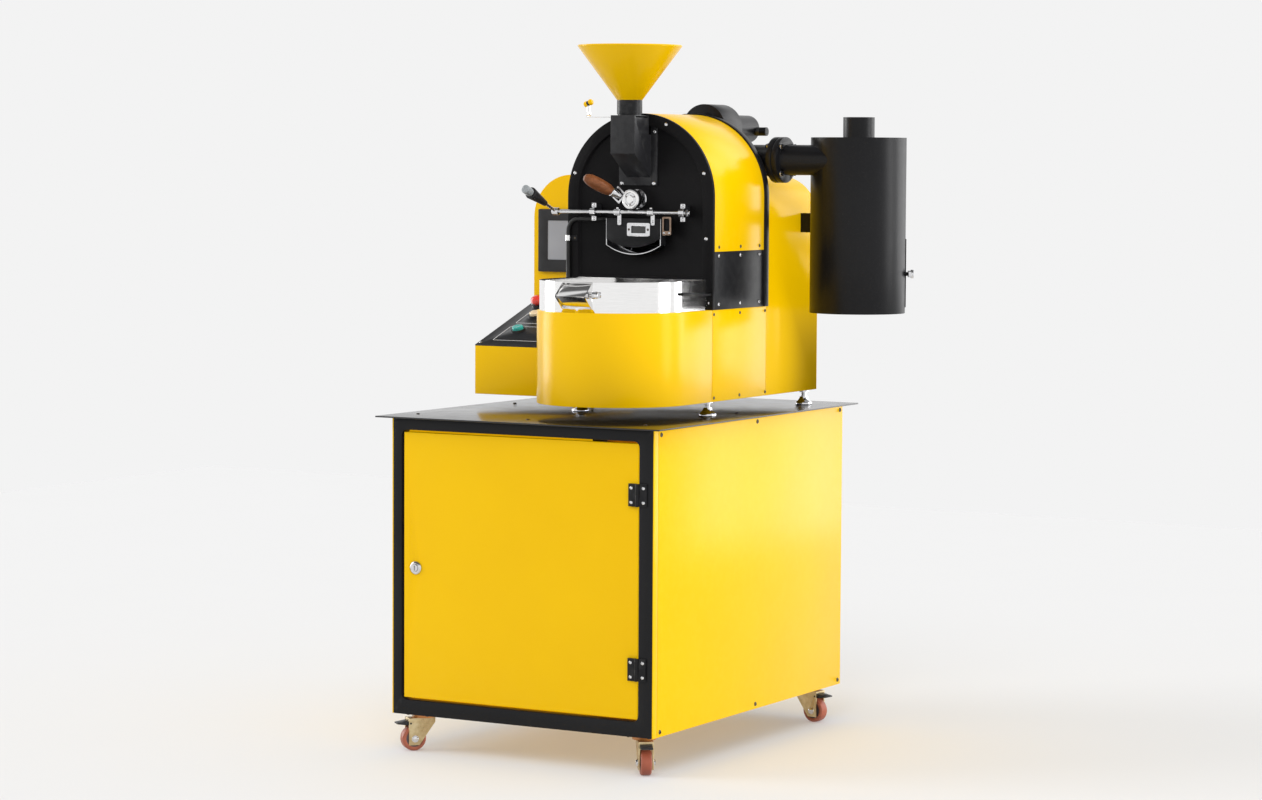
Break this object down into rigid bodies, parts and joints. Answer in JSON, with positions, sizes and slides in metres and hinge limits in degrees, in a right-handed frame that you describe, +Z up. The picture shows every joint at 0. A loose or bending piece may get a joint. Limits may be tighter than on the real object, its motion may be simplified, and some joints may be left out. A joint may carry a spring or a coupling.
{
  "type": "home coffee bean roaster",
  "caption": "Floor-standing drum coffee roaster with hopper, cooling bin, control console and chaff cyclone on a castered cabinet.",
  "frame": {"origin": "middle of the footprint box on the floor under the casters", "axes": "+Z up, -Y out of the cabinet door and the bean spout, +X to the cyclone side"},
  "size_m": [0.8445, 0.868, 1.418],
  "materials": {
    "yellow": "gloss powder coat",
    "black_gloss": "gloss powder coat",
    "black_satin": "satin powder coat",
    "zinc": "yellow zinc plate",
    "chrome": "bright plate",
    "orange": "plated and painted",
    "steel": "brushed",
    "cast_iron": "machined",
    "aluminium": "cast",
    "polished": "mirror polished stainless",
    "wood": "oiled turned wood",
    "rubber_black": "matt sleeve",
    "dark_screws": "blackened",
    "teal_plastic": "gloss",
    "cream_plastic": "gloss",
    "red_plastic": "gloss",
    "tread": "cast polyurethane tread on a grey hub",
    "black_plastic": "moulded"
  },
  "bodies": {
    "frame": {"cabinet_frame": "black_satin", "cabinet_panels": "yellow", "cabinet_top_plate": "black_gloss", "hinge_frame_leaves": "black_satin", "panel_screws": "dark_screws", "caster_plates": "orange", "base_panels": "yellow", "levelling_feet": "black_satin", "rear_housing": "yellow", "arch_wrap": "yellow", "front_plate": "black_satin", "drum_rear_plate": "black_satin", "side_access_panels": "black_satin", "drum_bearings": "cast_iron", "gearmotors": "aluminium", "heater": "steel", "hopper_funnel": "yellow", "inlet_chute": "black_satin", "discharge_chute": "black_satin", "bearing_blocks": "chrome", "trier_port": "chrome", "probe_conduit": "rubber_black", "conduit_clips": "polished", "touch_panel": "black_plastic", "console_body": "yellow", "console_panel": "black_satin", "cooling_bin": "polished", "blower": "black_satin", "exhaust_pipe": "black_satin", "cyclone": "black_satin"},
    "door": {"cabinet_door": "yellow", "hinge_door_leaves": "black_satin", "lock_barrel": "chrome"},
    "lock": {"lock_plug": "chrome"},
    "drum": {"drum": "steel"},
    "slide_gate": {"slide_gate": "polished"},
    "front_door": {"discharge_door": "black_satin", "door_shaft": "chrome"},
    "trier": {"trier": "chrome", "trier_handle": "wood"},
    "start_button": {"start_button": "teal_plastic"},
    "stop_button": {"stop_button": "cream_plastic"},
    "emergency_button": {"emergency_button": "red_plastic"},
    "stir_arm": {"stir_arm": "steel"},
    "bin_gate": {"bin_gate": "polished"},
    "impeller": {"impeller": "aluminium"},
    "chaff_door": {"chaff_door": "black_satin"},
    "chaff_latch": {"chaff_latch": "chrome"},
    "swivel_1": {"caster_fork_1": "zinc"},
    "wheel_1": {"caster_wheel_1": "tread"},
    "pedal_1": {"caster_pedal_1": "black_plastic"},
    "swivel_2": {"caster_fork_2": "zinc"},
    "wheel_2": {"caster_wheel_2": "tread"},
    "pedal_2": {"caster_pedal_2": "black_plastic"},
    "swivel_3": {"caster_fork_3": "zinc"},
    "wheel_3": {"caster_wheel_3": "tread"},
    "pedal_3": {"caster_pedal_3": "black_plastic"},
    "swivel_4": {"caster_fork_4": "zinc"},
    "wheel_4": {"caster_wheel_4": "tread"},
    "pedal_4": {"caster_pedal_4": "black_plastic"}
  },
  "joints": [
    {"name": "door_hinge", "type": "hinge", "parent": "frame", "child": "door", "pos_m": [0.1725, -0.413, 0.374], "axis": [0, 0, 1], "range_deg": [0, 110]},
    {"name": "lock_turn", "type": "hinge", "parent": "door", "child": "lock", "pos_m": [-0.338, -0.383, 0.374], "axis": [0, 1, 0], "range_deg": [0, 90]},
    {"name": "swivel_turn_1", "type": "hinge", "parent": "frame", "child": "swivel_1", "pos_m": [-0.348, -0.361, 0.06], "axis": [0, 0, 1], "continuous": true},
    {"name": "wheel_spin_1", "type": "hinge", "parent": "swivel_1", "child": "wheel_1", "pos_m": [-0.36278, -0.37862, 0.025], "axis": [0.766, -0.6428, 0], "continuous": true},
    {"name": "pedal_press_1", "type": "hinge", "parent": "swivel_1", "child": "pedal_1", "pos_m": [-0.36857, -0.38551, 0.05645], "axis": [0.766, -0.6428, 0], "range_deg": [0, 8]},
    {"name": "swivel_turn_2", "type": "hinge", "parent": "frame", "child": "swivel_2", "pos_m": [0.162, -0.361, 0.06], "axis": [0, 0, 1], "continuous": true},
    {"name": "wheel_spin_2", "type": "hinge", "parent": "swivel_2", "child": "wheel_2", "pos_m": [0.17519, -0.37984, 0.025], "axis": [0.8192, 0.5736, 0], "continuous": true},
    {"name": "pedal_press_2", "type": "hinge", "parent": "swivel_2", "child": "pedal_2", "pos_m": [0.18035, -0.38721, 0.05645], "axis": [0.8192, 0.5736, 0], "range_deg": [0, 8]},
    {"name": "swivel_turn_3", "type": "hinge", "parent": "frame", "child": "swivel_3", "pos_m": [-0.338, 0.361, 0.06], "axis": [0, 0, 1], "continuous": true},
    {"name": "wheel_spin_3", "type": "hinge", "parent": "swivel_3", "child": "wheel_3", "pos_m": [-0.35562, 0.37578, 0.025], "axis": [-0.6428, -0.766, 0], "continuous": true},
    {"name": "pedal_press_3", "type": "hinge", "parent": "swivel_3", "child": "pedal_3", "pos_m": [-0.36251, 0.38157, 0.05645], "axis": [-0.6428, -0.766, 0], "range_deg": [0, 8]},
    {"name": "swivel_turn_4", "type": "hinge", "parent": "frame", "child": "swivel_4", "pos_m": [0.152, 0.361, 0.06], "axis": [0, 0, 1], "continuous": true},
    {"name": "wheel_spin_4", "type": "hinge", "parent": "swivel_4", "child": "wheel_4", "pos_m": [0.17465, 0.35701, 0.025], "axis": [0.1736, 0.9848, 0], "continuous": true},
    {"name": "pedal_press_4", "type": "hinge", "parent": "swivel_4", "child": "pedal_4", "pos_m": [0.18351, 0.35544, 0.05645], "axis": [0.1736, 0.9848, 0], "range_deg": [0, 8]},
    {"name": "drum_spin", "type": "hinge", "parent": "frame", "child": "drum", "pos_m": [-0.003, -0.009, 1.1145], "axis": [0, 1, 0], "continuous": true},
    {"name": "gate_slide", "type": "slide", "parent": "frame", "child": "slide_gate", "axis": [-1, 0, 0], "range_m": [0, 0.05]},
    {"name": "discharge_turn", "type": "hinge", "parent": "frame", "child": "front_door", "pos_m": [-0.015, -0.114, 1.084], "axis": [1, 0, 0], "range_deg": [-75, 0]},
    {"name": "trier_slide", "type": "slide", "parent": "frame", "child": "trier", "axis": [0, -1, 0], "range_m": [0, 0.12]},
    {"name": "start_press", "type": "slide", "parent": "frame", "child": "start_button", "axis": [0, 0.3295, -0.9442], "range_m": [0, 0.0028], "stiffness_N_per_m": 400, "springref_m": -0.001},
    {"name": "stop_press", "type": "slide", "parent": "frame", "child": "stop_button", "axis": [0, 0.3295, -0.9442], "range_m": [0, 0.0028], "stiffness_N_per_m": 400, "springref_m": -0.001},
    {"name": "emergency_press", "type": "slide", "parent": "frame", "child": "emergency_button", "axis": [0, 0.3295, -0.9442], "range_m": [0, 0.0038], "stiffness_N_per_m": 600, "springref_m": -0.001},
    {"name": "stir_spin", "type": "hinge", "parent": "frame", "child": "stir_arm", "pos_m": [0.006, -0.209, 0.905], "axis": [0, 0, 1], "continuous": true},
    {"name": "bin_gate_turn", "type": "hinge", "parent": "frame", "child": "bin_gate", "pos_m": [0.005, -0.363, 0.926], "axis": [1, 0, 0], "range_deg": [-60, 0]},
    {"name": "impeller_spin", "type": "hinge", "parent": "frame", "child": "impeller", "pos_m": [0.007, 0.181, 1.255], "axis": [0, 1, 0], "continuous": true},
    {"name": "chaff_door_turn", "type": "hinge", "parent": "frame", "child": "chaff_door", "pos_m": [0.28142, 0.3365, 0.96], "axis": [0, 0, 1], "range_deg": [0, 100]},
    {"name": "chaff_latch_turn", "type": "hinge", "parent": "chaff_door", "child": "chaff_latch", "pos_m": [0.40487, 0.29, 0.958], "axis": [0.866, 0.5, 0], "range_deg": [0, 90]}
  ]
}
